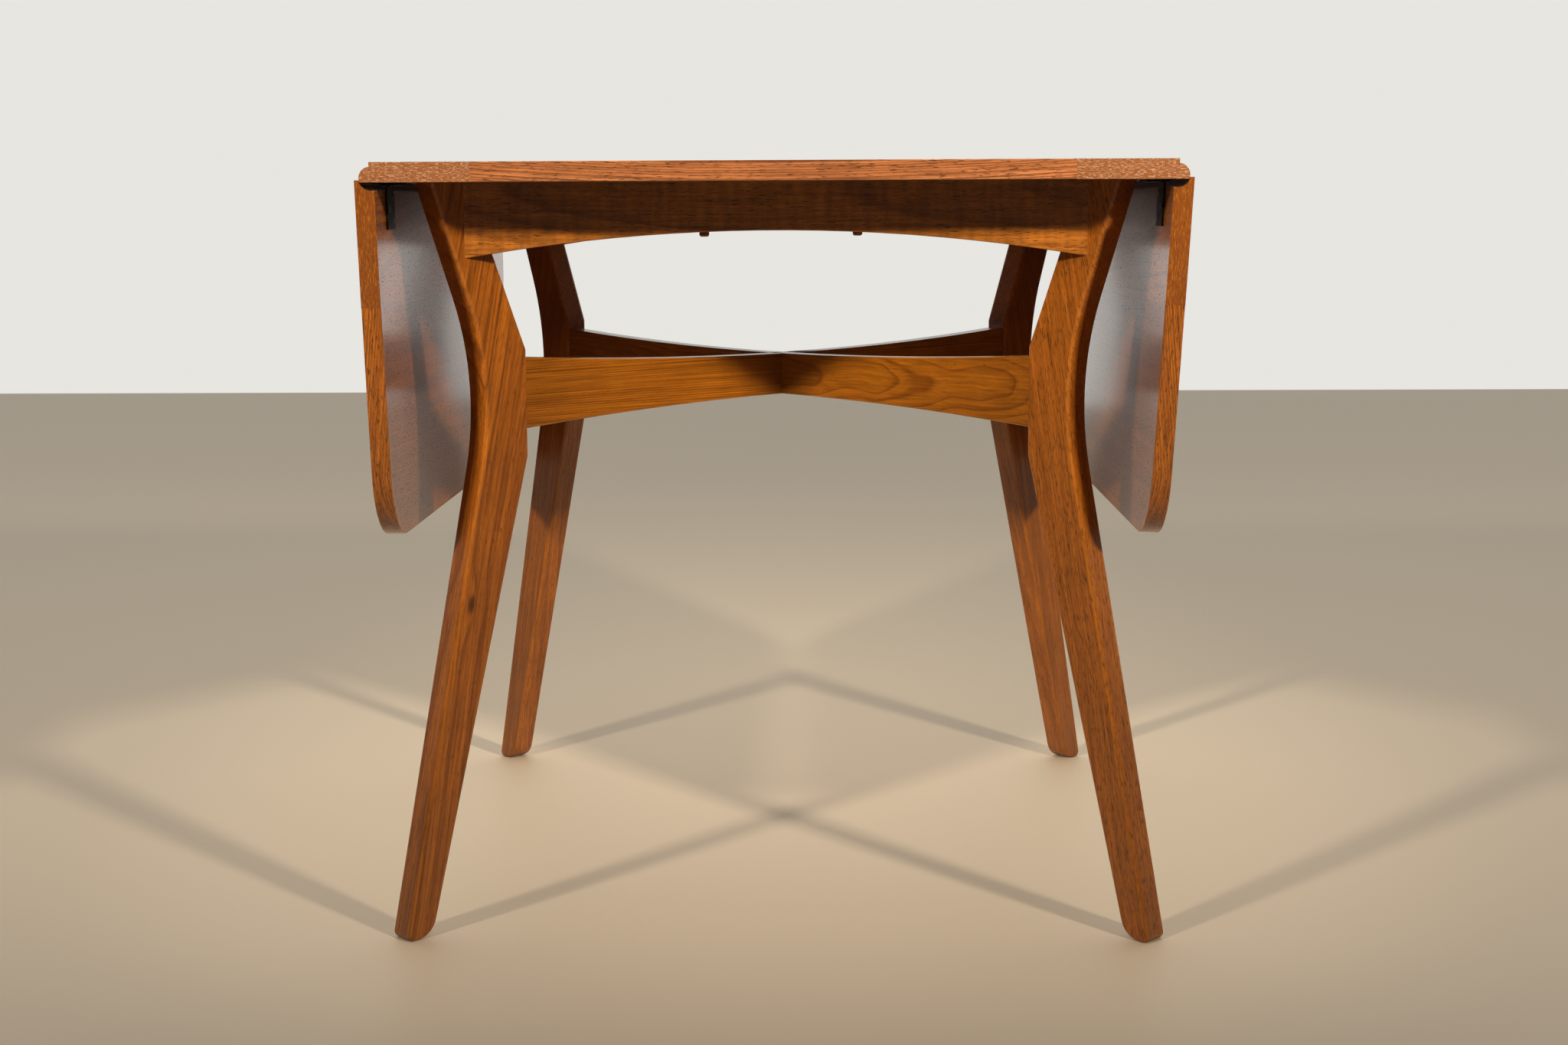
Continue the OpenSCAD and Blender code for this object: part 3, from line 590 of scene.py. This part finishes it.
def screwPlaces(node):
    # for each separate screw: middle of its head's face, the way it points, and its length
    bm = bmesh.new()
    bm.from_mesh(nodes[node].data)
    bmesh.ops.remove_doubles(bm, verts=bm.verts, dist=easing["weld"])
    left, found = set(bm.verts), []
    while left:
        group, queue = set(), [min(left, key=lambda v: tuple(v.co))]
        while queue:
            v = queue.pop()
            if v in left:
                left.discard(v)
                group.add(v)
                queue += [e.other_vert(v) for e in v.link_edges]
        spots = [v.co.copy() for v in group]
        spread = [max(c[k] for c in spots) - min(c[k] for c in spots) for k in range(3)]
        longest = spread.index(max(spread))
        ends = [min(spots, key=lambda c: c[longest]), max(spots, key=lambda c: c[longest])]
        # a leaf's screws lean with it, so the axis joins the middles of the ends; the head is the wide one
        rims = [[c for c in spots if abs(c[longest] - e[longest]) < screw["rim"]] for e in ends]
        middles = [sum(rim, Vector()) / len(rim) for rim in rims]
        wide = [max((c - m).length for c in rim) for rim, m in zip(rims, middles)]
        head, tip = (0, 1) if wide[0] > wide[1] else (1, 0)
        axis = (middles[tip] - middles[head]).normalized()
        along = [(c - middles[head]).dot(axis) for c in spots]
        found.append((middles[head] + axis * min(along), axis, max(along) - min(along)))
    bm.free()
    return found


def screwTree(material):
    tree = bpy.data.node_groups.new("screwSet", "GeometryNodeTree")
    tree.interface.new_socket("Geometry", in_out="INPUT", socket_type="NodeSocketGeometry")
    for label in ("Head Radius", "Head Depth", "Shank Radius", "Slot Width", "Slot Depth", "Length"):
        tree.interface.new_socket(label, in_out="INPUT", socket_type="NodeSocketFloat")
    tree.interface.new_socket("Seed", in_out="INPUT", socket_type="NodeSocketInt")
    tree.interface.new_socket("Geometry", in_out="OUTPUT", socket_type="NodeSocketGeometry")

    add = partial(addNode, tree)
    given = add("NodeGroupInput").outputs
    head = add("GeometryNodeMeshCone",
               {"Radius Bottom": given["Head Radius"], "Radius Top": given["Shank Radius"],
                "Depth": given["Head Depth"]}, {"Vertices": screw["sides"]})
    slotLong = add("ShaderNodeMath", {0: given["Head Radius"]}, {1: 3}, operation="MULTIPLY").outputs[0]
    slotHigh = add("ShaderNodeMath", {0: given["Slot Depth"]}, {1: 2}, operation="MULTIPLY").outputs[0]
    slotSize = add("ShaderNodeCombineXYZ", {"X": slotLong, "Y": given["Slot Width"], "Z": slotHigh})
    slotBox = add("GeometryNodeMeshCube", {"Size": slotSize.outputs[0]})
    head = add("GeometryNodeMeshBoolean", {0: head.outputs["Mesh"], 1: slotBox.outputs["Mesh"]},
               operation="DIFFERENCE")
    tipLong = add("ShaderNodeMath", {0: given["Shank Radius"]}, {1: 2}, operation="MULTIPLY").outputs[0]
    tipLow = add("ShaderNodeMath", {0: given["Length"], 1: tipLong}, operation="SUBTRACT").outputs[0]
    start = add("ShaderNodeMath", {0: given["Slot Depth"]}, {1: screw["slotGap"]}, operation="ADD").outputs[0]
    shankLong = add("ShaderNodeMath", {0: tipLow, 1: start}, operation="SUBTRACT").outputs[0]
    shank = add("GeometryNodeMeshCone",
                {"Radius Bottom": given["Shank Radius"], "Radius Top": given["Shank Radius"],
                 "Depth": shankLong}, {"Vertices": screw["sides"]})
    shank = add("GeometryNodeTransform", {"Geometry": shank.outputs["Mesh"],
                "Translation": add("ShaderNodeCombineXYZ", {"Z": start}).outputs[0]})
    tip = add("GeometryNodeMeshCone", {"Radius Bottom": given["Shank Radius"], "Depth": tipLong},
              {"Vertices": screw["sides"], "Radius Top": screw["tipRadius"]})
    tip = add("GeometryNodeTransform", {"Geometry": tip.outputs["Mesh"],
              "Translation": add("ShaderNodeCombineXYZ", {"Z": tipLow}).outputs[0]})
    whole = add("GeometryNodeJoinGeometry")
    for part in (head.outputs["Mesh"], shank.outputs[0], tip.outputs[0]):
        tree.links.new(part, whole.inputs[0])
    # each is driven home with its slot at its own angle
    way = add("GeometryNodeInputNamedAttribute", values={"Name": "axis"}, data_type="FLOAT_VECTOR")
    aim = add("FunctionNodeAlignRotationToVector", {"Vector": way.outputs[0]}, axis="Z")
    spin = add("FunctionNodeRandomValue", {"Seed": given["Seed"]}, data_type="FLOAT")
    spin.inputs[3].default_value = math.pi
    spin = add("FunctionNodeAxisAngleToRotation", {"Angle": spin.outputs[1]}, {"Axis": (0, 0, 1)})
    aim = add("FunctionNodeRotateRotation", {0: aim.outputs[0], 1: spin.outputs[0]}, rotation_space="LOCAL")
    placed = add("GeometryNodeInstanceOnPoints", {"Points": given["Geometry"], "Instance": whole.outputs[0],
                 "Rotation": aim.outputs[0]})
    real = add("GeometryNodeRealizeInstances", {0: placed.outputs[0]})
    painted = add("GeometryNodeSetMaterial", {"Geometry": real.outputs[0]}, {"Material": material})
    add("NodeGroupOutput", {0: painted.outputs[0]})
    return tree


screwNodes = screwTree(screwSteel)
for i, node in enumerate([n for n in nodes if n.endswith("screws") or n.startswith("flap_screws")]):
    places = screwPlaces(node)
    base = bpy.data.meshes.new("screwPlaces")
    base.from_pydata([spot for spot, axis, length in places], [], [])
    mark = base.attributes.new("axis", "FLOAT_VECTOR", "POINT")
    for k, (spot, axis, length) in enumerate(places):
        mark.data[k].vector = axis
    carrier = bpy.data.objects.new("screwCarrier", base)
    bpy.context.scene.collection.objects.link(carrier)
    build = carrier.modifiers.new("screwSet", "NODES")
    build.node_group = screwNodes
    given = {"Head Radius": screw["headRadius"], "Head Depth": screw["headDepth"],
             "Shank Radius": screw["shankRadius"], "Slot Width": screw["slotWidth"],
             "Slot Depth": screw["slotDepth"], "Seed": screw["seed"] + i,
             "Length": min(length for spot, axis, length in places)}
    for item in screwNodes.interface.items_tree:
        if item.in_out == "INPUT" and item.name in given:
            build[item.identifier] = given[item.name]
    depsgraph = bpy.context.evaluated_depsgraph_get()
    mesh = bpy.data.meshes.new_from_object(carrier.evaluated_get(depsgraph))
    carrier.modifiers.remove(build)
    bpy.data.objects.remove(carrier)
    mesh.shade_smooth()
    mesh.set_sharp_from_angle(angle=math.radians(screw["sharp"]))
    addPiece(mesh, node, screwSteel)
    print(node, len(places), "screws", round(given["Length"] / mm, 2), "mm")
print("screws made")

# floor, light and camera
floor = {"size": 12, "colour": "#d8c6aa", "roughness": 0.6}
bm = bmesh.new()
bmesh.ops.create_grid(bm, x_segments=1, y_segments=1, size=floor["size"] / 2)
mesh = bpy.data.meshes.new("floor")
bm.to_mesh(mesh)
bm.free()
ground = bpy.data.objects.new("floor", mesh)
bpy.context.scene.collection.objects.link(ground)
mat = bpy.data.materials.new("floorPlainMatt")
mat.use_nodes = True
shader = mat.node_tree.nodes["Principled BSDF"]
shader.inputs["Base Color"].default_value = linear(floor["colour"])
shader.inputs["Roughness"].default_value = floor["roughness"]
mesh.materials.append(mat)

# the studio wall lies behind, so the far side is bright and the near side dim
sky = {"colour": "#f5f3ee", "behind": 1.2, "front": 0.04, "above": 0.12, "seen": 0.88, "full": 0.85}
world = bpy.data.worlds.new("softStudio")
world.use_nodes = True
tree = world.node_tree
tree.nodes.clear()
toward = addNode(tree, "ShaderNodeSeparateXYZ", {0: addNode(tree, "ShaderNodeTexCoord").outputs["Generated"]})
wall = addNode(tree, "ShaderNodeMapRange", {"Value": toward.outputs["Y"]},
               {"From Min": 0.0, "From Max": sky["full"], "To Min": sky["front"], "To Max": sky["behind"]},
               interpolation_type="SMOOTHSTEP").outputs[0]
ceiling = addNode(tree, "ShaderNodeMath", {0: toward.outputs["Z"], 2: wall}, {1: sky["above"]},
                  operation="MULTIPLY_ADD").outputs[0]
lit = addNode(tree, "ShaderNodeBackground", {"Strength": ceiling}, {"Color": linear(sky["colour"])})
seen = addNode(tree, "ShaderNodeBackground", values={"Color": linear(sky["colour"]), "Strength": sky["seen"]})
ray = addNode(tree, "ShaderNodeLightPath").outputs["Is Camera Ray"]
both = addNode(tree, "ShaderNodeMixShader", {0: ray, 1: lit.outputs[0], 2: seen.outputs[0]})
addNode(tree, "ShaderNodeOutputWorld", {"Surface": both.outputs[0]})
bpy.context.scene.world = world
bpy.context.scene.view_settings.view_transform = "Standard"

# soft boxes: (name, place, aimed at, width, spread in degrees, watts)
lampColour = "#fff2e2"
boxes = [
    ("overhead", (0, 0.3, 2.6), (0, 0, 0), 2.4, 180, 14),
    ("frontLeft", (-1.45, -1.75, 1.5), (0, 0, 0.72), 0.16, 52, 5.2),
    ("frontRight", (1.45, -1.75, 1.5), (0, 0, 0.72), 0.16, 52, 6.4),
]
for name, place, aim, width, spread, watts in boxes:
    lamp = bpy.data.lights.new(name, "AREA")
    lamp.size = width
    lamp.spread = math.radians(spread)
    lamp.energy = watts
    lamp.color = linear(lampColour)[:3]
    obj = bpy.data.objects.new(name, lamp)
    obj.location = place
    obj.rotation_euler = (Vector(aim) - Vector(place)).to_track_quat("-Z", "Y").to_euler()
    obj.visible_camera = False
    obj.visible_glossy = name == "overhead"   # the small boxes would glare in the lacquer
    bpy.context.scene.collection.objects.link(obj)

# lens and sensor in millimetres, place in metres, turns in degrees
view = {
    "lens": 49.907, "sensor": 36, "place": (0.045804, -2.358647, 0.690595),
    "down": 8.1753, "left": 1.08234, "roll": -0.25545,
}
lens = bpy.data.cameras.new("camera")
lens.lens = view["lens"]
lens.sensor_width = view["sensor"]
camera = bpy.data.objects.new("camera", lens)
turn = Euler((math.radians(90 - view["down"]), 0, math.radians(view["left"]))).to_matrix()
camera.matrix_world = (Matrix.Translation(view["place"])
                       @ (turn @ Matrix.Rotation(math.radians(view["roll"]), 3, "Z")).to_4x4())
bpy.context.scene.collection.objects.link(camera)
bpy.context.scene.camera = camera
print("floor, light and camera made")
